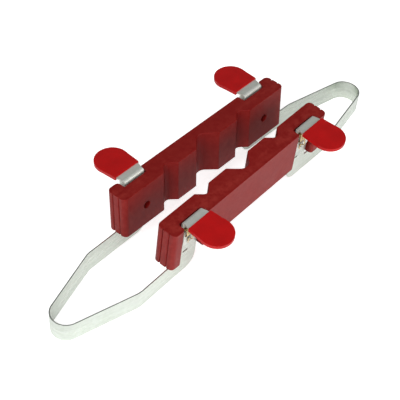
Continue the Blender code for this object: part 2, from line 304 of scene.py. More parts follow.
# thin scratches in two crossing directions, as a mask from 0 to 1
def makeScratchGroup():
    tree, entry, out = startGroup(
        "scratches", [("Vector", "NodeSocketVector", None), ("Scale", "NodeSocketFloat", 90.0),
                      ("Amount", "NodeSocketFloat", 0.5)],
        [("Mask", "NodeSocketFloat")])
    marks = None
    for turn, stretch in (((0.2, 0.3, 0.5), (9, 1, 3)), ((0.9, 0.4, -0.8), (1, 11, 4))):
        lay = addNode(tree, "ShaderNodeMapping", {"vector_type": "POINT"})
        tree.links.new(entry.outputs["Vector"], lay.inputs["Vector"])
        lay.inputs["Rotation"].default_value = turn
        lay.inputs["Scale"].default_value = stretch
        lines = noise(tree, lay.outputs[0], entry.outputs["Scale"], 1.0, 0.4)
        ridge = calculate(tree, "ABSOLUTE", calculate(tree, "SUBTRACT", lines.outputs[0], 0.5), 0)
        thin = remap(tree, ridge, 0.0, 0.006, 1, 0)
        patch = noise(tree, entry.outputs["Vector"], calculate(tree, "MULTIPLY", entry.outputs["Scale"], 0.6),
                      2.0, 0.5)
        some = remap(tree, patch.outputs[0], 0.52, 0.62, 0, 1)
        mark = calculate(tree, "MULTIPLY", thin, some)
        marks = mark if marks is None else calculate(tree, "MAXIMUM", marks, mark)
    tree.links.new(calculate(tree, "MULTIPLY", marks, entry.outputs["Amount"]), out.inputs["Mask"])
    return tree


# worn edges: convex edges broken up by a rough noise, 0 to 1
def makeWearGroup():
    tree, entry, out = startGroup(
        "worn edges", [("Vector", "NodeSocketVector", None), ("Scale", "NodeSocketFloat", 220.0),
                       ("Width", "NodeSocketFloat", 0.06), ("Amount", "NodeSocketFloat", 0.5)],
        [("Mask", "NodeSocketFloat")])
    shape = tree.nodes.new("ShaderNodeNewGeometry")
    edge = remap(tree, shape.outputs["Pointiness"], 0.505,
                 calculate(tree, "ADD", entry.outputs["Width"], 0.505), 0, 1)
    rough = noise(tree, entry.outputs["Vector"], entry.outputs["Scale"], 5.0, 0.65)
    broken = calculate(tree, "MULTIPLY", edge, remap(tree, rough.outputs[0], 0.38, 0.6, 0, 1))
    tree.links.new(calculate(tree, "MULTIPLY", broken, entry.outputs["Amount"]), out.inputs["Mask"])
    return tree


groups = {"tone": makeCloudGroup(), "grain": makeGrainGroup(), "scratches": makeScratchGroup(),
          "wear": makeWearGroup()}


# places a shared effect in a material, with its own values
def useGroup(tree, group, vector, **values):
    node = tree.nodes.new("ShaderNodeGroup")
    node.node_tree = groups[group]
    tree.links.new(vector, node.inputs["Vector"])
    for label, value in values.items():
        node.inputs[label.replace("_", " ")].default_value = value
    return node.outputs[0]


def startMaterial(name):
    material = bpy.data.materials.new(name)
    material.use_nodes = True
    tree = material.node_tree
    shader = tree.nodes["Principled BSDF"]
    vector = tree.nodes.new("ShaderNodeTexCoord").outputs["Object"]
    return material, tree, shader, vector


def bump(tree, shader, height, distance, strength=1.0):
    node = addNode(tree, "ShaderNodeBump", None, Strength=strength, Distance=distance, Height=height)
    tree.links.new(node.outputs[0], shader.inputs["Normal"])


redNylon = {"color": (0.192, 0.0052, 0.0040, 1), "dark": (0.176, 0.0042, 0.0034, 1),
            "worn": (0.30, 0.030, 0.022, 1), "ior": 1.40, "sheen": 0.26,
            "roughness": (0.40, 0.52), "grainScale": 2600.0, "grainDepth": 0.018 * mm,
            "scuffColor": 0.22, "scuffRoughness": 0.12, "scuffDepth": 0.5}


def makeRedNylon():
    s = redNylon
    material, tree, shader, vector = startMaterial("red moulded nylon")
    tone = useGroup(tree, "tone", vector, Cloud_Scale=55.0, Speckle_Scale=1800.0, Speckle_Share=0.35)
    scuffs = useGroup(tree, "scratches", vector, Scale=70.0, Amount=0.4)
    wear = useGroup(tree, "wear", vector, Scale=260.0, Width=0.07, Amount=0.55)
    color = mixColor(tree, tone, s["dark"], s["color"])
    color = mixColor(tree, wear, color, s["worn"])
    color = mixColor(tree, calculate(tree, "MULTIPLY", scuffs, s["scuffColor"]), color, s["worn"])
    tree.links.new(color, shader.inputs["Base Color"])
    low, high = s["roughness"]
    rough = remap(tree, tone, 0, 1, low, high)
    rough = calculate(tree, "ADD", rough, calculate(tree, "MULTIPLY", scuffs, s["scuffRoughness"]))
    tree.links.new(rough, shader.inputs["Roughness"])
    shader.inputs["IOR"].default_value = s["ior"]
    shader.inputs["Specular IOR Level"].default_value = s["sheen"]
    grain = useGroup(tree, "grain", vector, Scale=s["grainScale"])
    height = calculate(tree, "SUBTRACT", grain, calculate(tree, "MULTIPLY", scuffs, s["scuffDepth"]))
    bump(tree, shader, height, s["grainDepth"])
    return material


redVinyl = {"color": (0.46, 0.005, 0.0055, 1), "dark": (0.36, 0.003, 0.0035, 1), "ior": 1.42, "sheen": 0.25,
            "roughness": (0.30, 0.42), "dipScale": 260.0, "dipDepth": 0.09 * mm}


def makeRedVinyl():
    s = redVinyl
    material, tree, shader, vector = startMaterial("red dipped vinyl")
    tone = useGroup(tree, "tone", vector, Cloud_Scale=90.0, Speckle_Scale=900.0, Speckle_Share=0.2)
    tree.links.new(mixColor(tree, tone, s["dark"], s["color"]), shader.inputs["Base Color"])
    low, high = s["roughness"]
    tree.links.new(remap(tree, tone, 0, 1, high, low), shader.inputs["Roughness"])
    shader.inputs["IOR"].default_value = s["ior"]
    shader.inputs["Specular IOR Level"].default_value = s["sheen"]
    shader.inputs["Coat Roughness"].default_value = 0.25
    dust = useGroup(tree, "tone", vector, Cloud_Scale=400.0, Speckle_Scale=3000.0, Speckle_Share=0.6)
    tree.links.new(remap(tree, dust, 0.3, 0.8, 0.0, 0.06), shader.inputs["Coat Weight"])
    dips = noise(tree, vector, s["dipScale"], 2.0, 0.45)
    pores = noise(tree, vector, 3200.0, 1.0, 0.5)
    height = calculate(tree, "ADD", dips.outputs[0], calculate(tree, "MULTIPLY", pores.outputs[0], 0.05))
    bump(tree, shader, height, s["dipDepth"])
    return material


def makeMetal(name, s):
    material, tree, shader, vector = startMaterial(name)
    tone = useGroup(tree, "tone", vector, Cloud_Scale=s["cloudScale"], Speckle_Scale=s["speckleScale"],
                 Speckle_Share=s["speckleShare"])
    streaks = useGroup(tree, "grain", vector, Scale=s["streakScale"], Stretch=s["streakStretch"])
    scratches = useGroup(tree, "scratches", vector, Scale=s["scratchScale"], Amount=s["scratchAmount"])
    wear = useGroup(tree, "wear", vector, Scale=400.0, Width=0.08, Amount=0.6)
    color = mixColor(tree, tone, s["color"], s["tint"])
    color = mixColor(tree, remap(tree, streaks, 0.35, 0.65, 0, s["streakTone"]), color, s["shade"])
    color = mixColor(tree, wear, color, s["bare"])
    tree.links.new(color, shader.inputs["Base Color"])
    shader.inputs["Metallic"].default_value = s["metallic"]
    low, high = s["roughness"]
    rough = remap(tree, streaks, 0.35, 0.65, low, high)
    rough = calculate(tree, "ADD", rough, calculate(tree, "MULTIPLY", tone, s["hazeRoughness"]))
    rough = calculate(tree, "ADD", rough, calculate(tree, "MULTIPLY", scratches, 0.15))
    tree.links.new(rough, shader.inputs["Roughness"])
    height = calculate(tree, "SUBTRACT", calculate(tree, "MULTIPLY", streaks, 0.6),
                  calculate(tree, "MULTIPLY", scratches, 0.5))
    bump(tree, shader, height, s["depth"])
    return material


springSteel = {"metallic": 1.0, "color": (0.60, 0.65, 0.57, 1), "tint": (0.66, 0.71, 0.65, 1),
               "shade": (0.44, 0.48, 0.43, 1), "bare": (0.78, 0.80, 0.78, 1),
               "cloudScale": 45.0, "speckleScale": 900.0, "speckleShare": 0.2,
               "streakScale": 140.0, "streakStretch": (0.35, 0.35, 14), "streakTone": 0.45,
               "scratchScale": 60.0, "scratchAmount": 0.5,
               "roughness": (0.20, 0.34), "hazeRoughness": 0.08, "depth": 0.012 * mm}
zincPlate = {"metallic": 0.6, "color": (0.62, 0.63, 0.56, 1), "tint": (0.56, 0.61, 0.54, 1),
             "shade": (0.50, 0.52, 0.50, 1), "bare": (0.80, 0.80, 0.78, 1),
             "cloudScale": 260.0, "speckleScale": 2200.0, "speckleShare": 0.45,
             "streakScale": 320.0, "streakStretch": (1, 5, 5), "streakTone": 0.4,
             "scratchScale": 160.0, "scratchAmount": 0.6,
             "roughness": (0.38, 0.50), "hazeRoughness": 0.14, "depth": 0.014 * mm}
goldWire = {"metallic": 1.0, "color": (0.72, 0.50, 0.17, 1), "tint": (0.60, 0.44, 0.20, 1),
            "shade": (0.30, 0.19, 0.07, 1), "bare": (0.80, 0.70, 0.50, 1),
            "cloudScale": 500.0, "speckleScale": 3500.0, "speckleShare": 0.5,
            "streakScale": 700.0, "streakStretch": (4, 1, 1), "streakTone": 0.5,
            "scratchScale": 400.0, "scratchAmount": 0.3,
            "roughness": (0.22, 0.36), "hazeRoughness": 0.1, "depth": 0.01 * mm}
brass = {"metallic": 1.0, "color": (0.70, 0.52, 0.22, 1), "tint": (0.62, 0.44, 0.18, 1),
         "shade": (0.34, 0.22, 0.08, 1), "bare": (0.82, 0.70, 0.42, 1),
         "cloudScale": 400.0, "speckleScale": 3000.0, "speckleShare": 0.4,
         "streakScale": 500.0, "streakStretch": (1, 6, 1), "streakTone": 0.5,
         "scratchScale": 300.0, "scratchAmount": 0.4,
         "roughness": (0.25, 0.42), "hazeRoughness": 0.12, "depth": 0.012 * mm}

materials = {
    "red_nylon": makeRedNylon(),
    "red_vinyl": makeRedVinyl(),
    "spring_steel": makeMetal("bright spring steel", springSteel),
    "zinc_steel": makeMetal("zinc plated steel", zincPlate),
    "wire": makeMetal("gold passivated wire", goldWire),
    "brass": makeMetal("turned brass", brass),
}
print("materials made:", ", ".join(materials))


jaw = {"length": 152.4 * mm, "thickness": 15.3 * mm, "height": 32.7 * mm, "facePointHeight": 16 * mm,
       "cornerRadius": 3.3 * mm, "grooveDepth": 1.1 * mm, "grooveHalfWidth": 0.42 * mm,
       "ribRound": 0.5 * mm, "holeRadius": 2.75 * mm, "edge": 0.32 * mm,
       "recessX": 56.6 * mm, "recessWidth": 20.2 * mm, "recessFloor": 10 * mm,
       "recessRoundEnd": 2.4 * mm, "recessRoundMiddle": 1.0 * mm,
       "reliefDepth": 0.7 * mm, "reliefFoot": 22.4 * mm,    # a shallow relief behind each lever
       "over": 4 * mm, "notchBack": 6 * mm,                 # how far cutters reach past the faces
       "notches": ((-34.6 * mm, 6.7 * mm, 4.0 * mm), (0, 10.9 * mm, 6.5 * mm),
                   (34.6 * mm, 6.7 * mm, 4.0 * mm))}   # offset, half chord, bottom radius


def makeJaw():
    s = jaw
    half, deep, high = s["length"] / 2, s["thickness"], s["height"]
    block = addCube("jaw block", (-half, 0, 0), (half, deep, high))
    over = s["over"]
    roundEdges(block, isUpright, s["cornerRadius"], 8)
    grooves = [addCylinder("groove", 1, high + over, (end * half, deep * share, high / 2), "Z", 4,
                           (s["grooveDepth"], s["grooveHalfWidth"], 1))
               for end in (-1, 1) for share in (1 / 3, 2 / 3)]
    combine(block, grooves)

    def grooveLip(points):
        y = points[0].y
        return (isUpright(points) and near(abs(points[0].x), half)
                and s["cornerRadius"] + nudge < y < deep - s["cornerRadius"] - nudge)
    roundEdges(block, grooveLip, s["ribRound"], 5)
    cutters = []
    for x, halfChord, radius in s["notches"]:
        back = s["notchBack"]
        notch = addCylinder("notch", halfChord + back, high + over, (x, -back, high / 2), "Z", 4)
        roundEdges(notch, lambda points: isUpright(points) and near(points[0].y, halfChord), radius, 14)
        cutters.append(notch)
    reliefFloor = s["recessFloor"] - s["reliefDepth"]
    for way in (-1, 1):
        x = way * s["recessX"]
        left, right = x - s["recessWidth"] / 2, x + s["recessWidth"] / 2
        cutters.append(addCube("recess", (left, s["recessFloor"], -over),
                               (right, deep + over, high + over)))
        cutters.append(addCube("relief", (left, reliefFloor, s["reliefFoot"]),
                               (right, deep, high + over)))
        cutters.append(addCylinder("hole", s["holeRadius"], deep + over,
                                   (x, deep / 2, high / 2), "Y", 40))
    combine(block, cutters)
    for side, radius in ((1, s["recessRoundEnd"]), (-1, s["recessRoundMiddle"])):
        lip = s["recessX"] + side * s["recessWidth"] / 2
        roundEdges(block, lambda points: isUpright(points) and near(points[0].y, deep)
                   and near(abs(points[0].x), lip), radius, 6)
    return finish(block, s["edge"], 3, 32)


loop = {"thickness": 0.9 * mm, "width": 14.8 * mm, "droop": radians(1.5),
        "reach": 150 * mm, "noseRadius": 9.9 * mm, "bendX": 96.8 * mm, "bendRadius": 16 * mm,
        "tabHalfWidth": 8.6 * mm, "tabTop": 21.5 * mm, "tabCorner": 2.5 * mm, "tabHeel": 9 * mm,
        "tabOut": 10.75 * mm, "holeRadius": 1.8 * mm, "slotOffset": 2.2 * mm, "slotHeight": 2.6 * mm,
        "slotSize": (4.6 * mm, 1.3 * mm), "slotRound": 0.45 * mm, "edge": 0.16 * mm,
        "cutReach": 2 * mm, "noseSteps": 26, "bendSteps": 8}


# distance of an arm from the middle plane on the bench; side is 1 on the right and -1 on the left
def armOffset(x, side, stand):
    start = (loop["tabOut"] / cos(stand["splay"]) - stand["height"] * tan(stand["splay"]))
    return stand["halfGap"] + start / cos(stand["toeIn"]) - side * x * tan(stand["toeIn"])


def armPath(side, stand):
    s = loop
    noseX = s["reach"] - s["thickness"] / 2 - s["noseRadius"]
    heading = side * stand["toeIn"]
    centerX = s["bendX"] - s["bendRadius"] * sin(heading)
    centerY = armOffset(s["bendX"], side, stand) - s["bendRadius"] * cos(heading)
    span = hypot(noseX - centerX, centerY)
    turn = atan2(noseX - centerX, -centerY) - acos((s["bendRadius"] - s["noseRadius"]) / span)
    points = []
    for step in range(s["bendSteps"] + 1):
        angle = heading + (turn - heading) * step / s["bendSteps"]
        points.append((centerX + s["bendRadius"] * sin(angle), centerY + s["bendRadius"] * cos(angle)))
    for step in range(s["noseSteps"] + 1):
        angle = turn + (pi / 2 - turn) * step / s["noseSteps"]
        points.append((noseX + s["noseRadius"] * sin(angle), s["noseRadius"] * cos(angle)))
    return points


def makeLoop(name, side, stand, jawPlaces):
    s = loop
    outerX = jaw["recessX"] + s["tabHalfWidth"]
    innerX = jaw["recessX"] - s["tabHalfWidth"]
    rise = (s["reach"] - outerX) * tan(s["droop"])
    crest = stand["height"] + s["tabTop"] * cos(stand["splay"]) - s["tabOut"] * sin(stand["splay"])
    strip = addSheet(name, outerX - innerX, crest - rise,
                     ((innerX + outerX) / 2, 0, (rise + crest) / 2), standing=True)
    pick(strip, "FACE", lambda points: True)
    bpy.ops.mesh.bisect(plane_co=(0, 0, rise + s["width"]), plane_no=(0, 0, 1))
    doneEditing()
    pick(strip, "VERT", lambda points: near(points[0].z, crest))
    bpy.ops.mesh.bevel(offset=s["tabCorner"], segments=6, affect="VERTICES")
    doneEditing()
    pick(strip, "VERT", lambda points: near(points[0].z, rise) and near(points[0].x, innerX))
    bpy.ops.mesh.bevel(offset=s["tabHeel"], segments=10, affect="VERTICES")
    doneEditing()
    # the arm and half of the nose, drawn out of the tab's lower outer edge
    pick(strip, "EDGE", lambda points: all(near(point.x, outerX) and point.z < rise + s["width"] + nudge
                                           for point in points))
    last = (outerX, armOffset(outerX, side, stand))
    for x, y in armPath(side, stand):
        extrudeBy((x - last[0], y - last[1], 0))
        last = (x, y)
    doneEditing()
    for corner in strip.data.vertices:
        if corner.co.x < outerX + nudge:
            corner.co.y = armOffset(corner.co.x, side, stand)
        else:
            corner.co.y += armOffset(outerX, side, stand)
    mirror = strip.modifiers.new("other arm", "MIRROR")
    mirror.use_axis = (False, True, False)
    mirror.merge_threshold = nudge
    applyModifier(strip, mirror)
    # droop towards the nose, and lean each arm with its jaw
    taper = tan(stand["splay"]) / cos(stand["toeIn"]) / armOffset(jaw["recessX"], side, stand)
    for corner in strip.data.vertices:
        if corner.co.x > outerX + nudge:
            corner.co.z -= (corner.co.x - outerX) * tan(s["droop"])
        corner.co.y *= 1 + corner.co.z * taper
        corner.co.x *= side
    mergeAndOrient(strip)
    thicken(strip, s["thickness"])
    cutters = []
    for row, way in (("rear", side), ("front", -side)):
        hole = addCylinder("hole", s["holeRadius"], 2 * s["cutReach"],
                           (way * jaw["recessX"], s["tabOut"], jaw["height"] / 2), "Y", 32)
        wide, tall = s["slotSize"]
        x = way * jaw["recessX"] + s["slotOffset"]
        slot = addCube("slot", (x - wide / 2, s["tabOut"] - s["cutReach"], s["slotHeight"] - tall / 2),
                       (x + wide / 2, s["tabOut"] + s["cutReach"], s["slotHeight"] + tall / 2))
        roundEdges(slot, lambda points: near(points[0].x, points[1].x)
                   and near(points[0].z, points[1].z), s["slotRound"], 4)
        for tool in (hole, slot):
            tool.matrix_world = jawPlaces[row]
            cutters.append(applyPlace(tool))
    combine(strip, cutters)
    return finish(strip, s["edge"], 2, 40)


# the finger's pieces are drawn in the jaw's frame at x = 0, and copied to their places later
hinge = {"pinOut": 13 * mm, "pinHeight": 25.5 * mm, "pinRadius": 1.0 * mm, "pinHalfLength": 9.8 * mm,
         "pinHeadRadius": 1.5 * mm, "pinHeadHeight": 0.5 * mm, "pinHeadRound": 0.3 * mm,
         "dishInset": 0.2 * mm, "dishRim": 0.3 * mm, "holeGap": 0.1 * mm, "pinEdge": 0.1 * mm}

lever = {"sheet": 1.0 * mm, "top": 34.85 * mm, "back": 10.4 * mm, "foot": 28 * mm,
         "bendRadius": 2.2 * mm, "legHalfWidth": 8.4 * mm, "earRadius": 2.4 * mm, "earRise": 6.0 * mm,
         "ears": (-7.9 * mm, 0.7 * mm),
         "rows": ((15.4 * mm, 9.3 * mm), (20 * mm, 9.3 * mm), (27 * mm, 9.8 * mm), (32 * mm, 10.2 * mm),
                  (36 * mm, 9.0 * mm), (38.8 * mm, 6.4 * mm), (40.2 * mm, 3.0 * mm)),
         "edge": 0.14 * mm}


# a flat plate in the jaw's upright plane: a disc whose upper half is lifted into a slot shape
def makeEar(name, radius, rise, x, sheet):
    ear = addCylinder(name, radius, sheet, (x, hinge["pinOut"], hinge["pinHeight"]), "X", 32)
    pick(ear, "VERT", lambda points: (points[0].z - hinge["pinHeight"]) * rise > -nudge * abs(rise))
    bpy.ops.transform.translate(value=(0, 0, rise))
    doneEditing()
    return ear


def makeLever():
    s = lever
    half, sheet = s["legHalfWidth"], s["sheet"]
    middle = s["back"] + sheet / 2
    center = (s["back"] + s["bendRadius"], s["top"] - s["bendRadius"])
    plate = addSheet("finger lever", 2 * half, center[1] - s["foot"],
                     (0, middle, (center[1] + s["foot"]) / 2), standing=True)
    pick(plate, "EDGE", lambda points: all(near(point.z, center[1]) for point in points))
    bpy.ops.mesh.spin(steps=8, angle=pi / 2, center=(0, *center), axis=(1, 0, 0))
    doneEditing()
    level = s["top"] - sheet / 2
    reached = center[0]
    pick(plate, "EDGE", lambda points: all(near(point.z, level) and near(point.y, reached)
                                           for point in points))
    width = half
    for y, halfWidth in s["rows"]:
        extrudeBy((0, y - reached, 0))
        bpy.ops.transform.resize(value=(halfWidth / width, 1, 1), center_override=(0, y, level))
        reached, width = y, halfWidth
    doneEditing()
    mergeAndOrient(plate)
    thicken(plate, sheet)
    ears = [makeEar("ear", s["earRadius"], s["earRise"], x, sheet) for x in s["ears"]]
    combine(plate, ears, "UNION")
    combine(plate, [addCylinder("pin hole", hinge["pinRadius"] + hinge["holeGap"], 2 * half + 4 * mm,
                                (0, hinge["pinOut"], hinge["pinHeight"]), "X", 32)])
    return finish(plate, s["edge"], 2, 40)


grip = {"start": 17 * mm, "end": 41.9 * mm, "thickness": 2.3 * mm, "middleHeight": 34.35 * mm,
        "sides": ((17 * mm, 10.3 * mm), (17.9 * mm, 10.25 * mm), (19.6 * mm, 10.55 * mm),
                  (21.5 * mm, 10.8 * mm), (24 * mm, 10.9 * mm), (26 * mm, 11.0 * mm),
                  (28 * mm, 11.3 * mm), (30.5 * mm, 11.5 * mm)),
        "endSteps": 12, "edge": 1.1 * mm, "crown": 0.22 * mm, "crownMiddle": 29 * mm, "crownReach": 13 * mm,
        "bead": 0.16 * mm, "beadFrom": 0.9 * mm, "beadWidth": 0.7 * mm}


def makeGrip():
    s = grip
    startY, startHalf = s["sides"][0]
    tip = addSheet("finger grip", 2 * startHalf, s["sides"][1][0] - startY,
                   (0, (startY + s["sides"][1][0]) / 2, s["middleHeight"]), strips=12)
    rows = list(s["sides"][2:])
    shoulder, widest = rows[-1]
    for step in range(1, s["endSteps"] + 1):
        turn = radians(86) * step / s["endSteps"]
        rows.append((shoulder + (s["end"] - shoulder) * sin(turn), widest * cos(turn)))
    reached, width = s["sides"][1][0], startHalf
    pick(tip, "EDGE", lambda points: all(near(point.y, reached) for point in points))
    for y, halfWidth in rows:
        extrudeBy((0, y - reached, 0))
        bpy.ops.transform.resize(value=(halfWidth / width, 1, 1),
                                 center_override=(0, y, s["middleHeight"]))
        reached, width = y, halfWidth
    doneEditing()
    mergeAndOrient(tip)
    thicken(tip, s["thickness"])
    modifier = tip.modifiers.new("dipped rim", "BEVEL")
    modifier.width = s["edge"]
    modifier.segments = 6
    modifier.limit_method = "ANGLE"
    modifier.angle_limit = radians(60)
    applyModifier(tip, modifier)
    mergeAndOrient(tip)
    # fuller in the middle, with a rolled lip at the open end
    for corner in tip.data.vertices:
        across = corner.co.x / widest
        along = (corner.co.y - s["crownMiddle"]) / s["crownReach"]
        full = max(0, 1 - across ** 2) * max(0, 1 - along ** 2)
        lip = exp(-((corner.co.y - s["start"] - s["beadFrom"]) / s["beadWidth"]) ** 2)
        side = 1 if corner.co.z > s["middleHeight"] else -1
        corner.co.z += side * (s["crown"] * full + s["bead"] * lip)
        corner.co.x += (1 if corner.co.x > 0 else -1) * s["bead"] * lip * min(1, abs(across) * 1.1)
    modifier = tip.modifiers.new("smooth skin", "SUBSURF")
    modifier.levels = 1
    modifier.render_levels = 1
    applyModifier(tip, modifier)
    bpy.ops.object.shade_smooth_by_angle(angle=radians(60))
    return tip


bracket = {"sheet": 0.8 * mm, "base": 11.5 * mm, "halfWidth": 7.0 * mm, "foot": 11.5 * mm,
           "crest": 22.2 * mm, "earRadius": 2.2 * mm, "holeRadius": 1.8 * mm, "edge": 0.12 * mm,
           "ears": (-6.6 * mm, 1.9 * mm), "earDrop": 9.5 * mm, "earFootShare": 0.7,
           "footRound": 1.6 * mm, "earFootLift": 1.7 * mm}


def makeBracket():
    s = bracket
    half, sheet, base = s["halfWidth"], s["sheet"], s["base"]
    plate = addCube("hinge bracket", (-half, base, s["foot"]), (half, base + sheet, s["crest"]))
    roundEdges(plate, lambda points: near(points[0].x, points[1].x) and near(points[0].z, points[1].z)
               and near(points[0].z, s["foot"]), s["footRound"], 5)
    ears = []
    low = hinge["pinHeight"] - s["earDrop"]
    for x in s["ears"]:
        ear = makeEar("ear", s["earRadius"], -s["earDrop"], x, sheet)
        for corner in ear.data.vertices:
            if corner.co.z < low + nudge:
                corner.co.y = base + max(0, corner.co.y - base) * s["earFootShare"]
                corner.co.z = max(corner.co.z, s["foot"] + s["earFootLift"])
        ears.append(ear)
    combine(plate, ears, "UNION")
    pinHole = addCylinder("pin hole", hinge["pinRadius"] + hinge["holeGap"], 4 * half,
                          (0, hinge["pinOut"], hinge["pinHeight"]), "X", 32)
    screwHole = addCylinder("screw hole", s["holeRadius"], 6 * mm, (0, base, jaw["height"] / 2), "Y", 32)
    behind = addCube("behind", (-2 * half, base - 5 * mm, 0), (2 * half, base, s["crest"]))
    combine(plate, [pinHole, screwHole, behind])
    return finish(plate, s["edge"], 2, 40)


def makePin():
    s = hinge
    place = (0, s["pinOut"], s["pinHeight"])
    pin = addCylinder("hinge pin", s["pinRadius"], 2 * s["pinHalfLength"], place, "X", 40)
    headMiddle = s["pinHalfLength"] - s["pinHeadHeight"] / 2
    head = addCylinder("head", s["pinHeadRadius"], s["pinHeadHeight"], (headMiddle, *place[1:]), "X", 40)
    roundEdges(head, lambda points: all(near(point.x, s["pinHalfLength"]) for point in points),
               s["pinHeadRound"], 4)
    combine(pin, [head], "UNION")
    # the other end is peened over: a shallow dished rivet end
    pick(pin, "FACE", lambda points: all(near(point.x, -s["pinHalfLength"]) for point in points))
    bpy.ops.mesh.inset(thickness=s["dishRim"])
    bpy.ops.mesh.inset(thickness=s["dishInset"])
    bpy.ops.transform.translate(value=(s["dishInset"], 0, 0))
    doneEditing()
    return finish(pin, s["pinEdge"], 2, 40)


screw = {"shankRadius": 1.5 * mm, "tip": 4.5 * mm, "seat": 12.6 * mm, "headRadius": 2.8 * mm,
         "headHeight": 1.6 * mm, "pitch": 0.5 * mm, "pointLength": 0.35 * mm, "threadEnd": 10.6 * mm,
         "pointShare": 0.7, "chamferShare": 0.86, "rootShare": 0.84,    # of the shank's radius
         "recess": (0.55 * mm, 3.4 * mm, 0.9 * mm),                     # cross: width, length, depth
         "dome": ((0.35, 1.0), (0.6, 0.95), (0.8, 0.84), (0.94, 0.66), (1.0, 0.42))}


def makeScrew():
    s = screw
    z = jaw["height"] / 2
    # the thread: a shank with a ring of crests, drawn as one turned outline
    bpy.ops.object.select_all(action="DESELECT")
    bpy.ops.mesh.primitive_circle_add(vertices=40, radius=s["shankRadius"] * s["pointShare"],
                                      fill_type="NGON", location=(0, s["tip"], z),
                                      rotation=(pi / 2, 0, 0))
    piece = applyPlace(named("fixing screw"))
    pick(piece, "FACE", lambda points: True)
    radius, y = s["shankRadius"] * s["pointShare"], s["tip"]

    def ringTo(nextY, nextRadius):
        nonlocal radius, y
        extrudeBy((0, nextY - y, 0))
        bpy.ops.transform.resize(value=(nextRadius / radius, 1, nextRadius / radius),
                                 center_override=(0, nextY, z))
        radius, y = nextRadius, nextY
    ringTo(y + s["pointLength"], s["shankRadius"] * s["chamferShare"])
    while y < s["threadEnd"]:
        ringTo(y + s["pitch"] / 2, s["shankRadius"])
        ringTo(y + s["pitch"] / 2, s["shankRadius"] * s["rootShare"])
    top = s["seat"] + s["headHeight"]
    ringTo(s["seat"], s["shankRadius"])
    ringTo(s["seat"] + nudge, s["headRadius"])
    for share, width in s["dome"]:
        ringTo(s["seat"] + s["headHeight"] * share, s["headRadius"] * width)
    doneEditing()
    wide, long, deep = s["recess"]
    arms = [addCube("cross", (-a / 2, top - deep, z - b / 2), (a / 2, top + mm, z + b / 2))
            for a, b in ((wide, long), (long, wide))]
    combine(piece, arms)
    mergeAndOrient(piece)
    return finish(piece, 0.07 * mm, 2, 50)


insert = {"start": 3.0 * mm, "end": 9.6 * mm, "radius": 2.6 * mm, "bore": 1.75 * mm, "knurls": 36,
          "knurlShare": 0.93, "waistWidth": 1.0 * mm, "waistDepth": 0.35 * mm, "over": 1 * mm,
          "cutLength": 12 * mm, "cutMiddle": 6 * mm}


def makeInsert():
    s = insert
    z = jaw["height"] / 2
    middle = (0, (s["start"] + s["end"]) / 2, z)
    piece = addCylinder("threaded insert", s["radius"], s["end"] - s["start"], middle, "Y",
                        2 * s["knurls"])
    combine(piece, [addCylinder("bore", s["bore"], s["cutLength"], (0, s["cutMiddle"], z), "Y", 36)])
    waist = addCylinder("waist", s["radius"] + s["over"], s["waistWidth"], middle, "Y", 36)
    combine(waist, [addCylinder("core", s["radius"] - s["waistDepth"], s["waistWidth"] + s["over"],
                                middle, "Y", 36)])
    combine(piece, [waist])
    for corner in piece.data.vertices:
        outward = Vector((corner.co.x, 0, corner.co.z - z))
        if outward.length > s["radius"] - 0.1 * mm:
            turn = round(atan2(outward.z, outward.x) / (pi / s["knurls"]))
            if turn % 2:
                corner.co.x *= s["knurlShare"]
                corner.co.z = z + outward.z * s["knurlShare"]
    return finish(piece, 0.06 * mm, 1, 40)


spring = {"wire": 0.35 * mm, "radius": 2.2 * mm, "turns": 5, "start": 3.1 * mm, "end": 8.0 * mm,
          "samples": 24, "legOut": 12.95 * mm, "legEnd": 13 * mm, "topLeg": 33.2 * mm,
          "curlFoot": 17.6 * mm, "curlOut": 15.9 * mm, "curlRise": (1.2 * mm, 3.4 * mm),
          "upperBend": 1.1 * mm, "bendRadius": 1.0 * mm}


# a round wire through the points, as a curve that is then made a mesh
def makeWire(name, points, radius):
    bpy.ops.object.select_all(action="DESELECT")
    bpy.ops.curve.primitive_nurbs_path_add(location=(0, 0, 0))
    wire = named(name)
    wire.data.splines.clear()
    line = wire.data.splines.new("POLY")
    line.points.add(len(points) - 1)
    for knot, point in zip(line.points, points):
        knot.co = (*point, 1)
    wire.data.bevel_depth = radius
    wire.data.bevel_resolution = 3
    wire.data.use_fill_caps = True
    selectOnly(wire)
    bpy.ops.object.convert(target="MESH")
    piece = named(name)
    mergeAndOrient(piece)
    bpy.ops.object.shade_smooth_by_angle(angle=radians(50))
    return piece


# rounds the corners of a bent wire's route
def softRoute(points, radius, steps=5):
    route = [Vector(points[0])]
    for before, corner, after in zip(points, points[1:], points[2:]):
        before, corner, after = Vector(before), Vector(corner), Vector(after)
        entry = corner + (before - corner).normalized() * min(radius, (before - corner).length * 0.45)
        leave = corner + (after - corner).normalized() * min(radius, (after - corner).length * 0.45)
        for step in range(steps + 1):
            share = step / steps
            route.append(entry.lerp(corner, share).lerp(corner.lerp(leave, share), share))
    return route + [Vector(points[-1])]


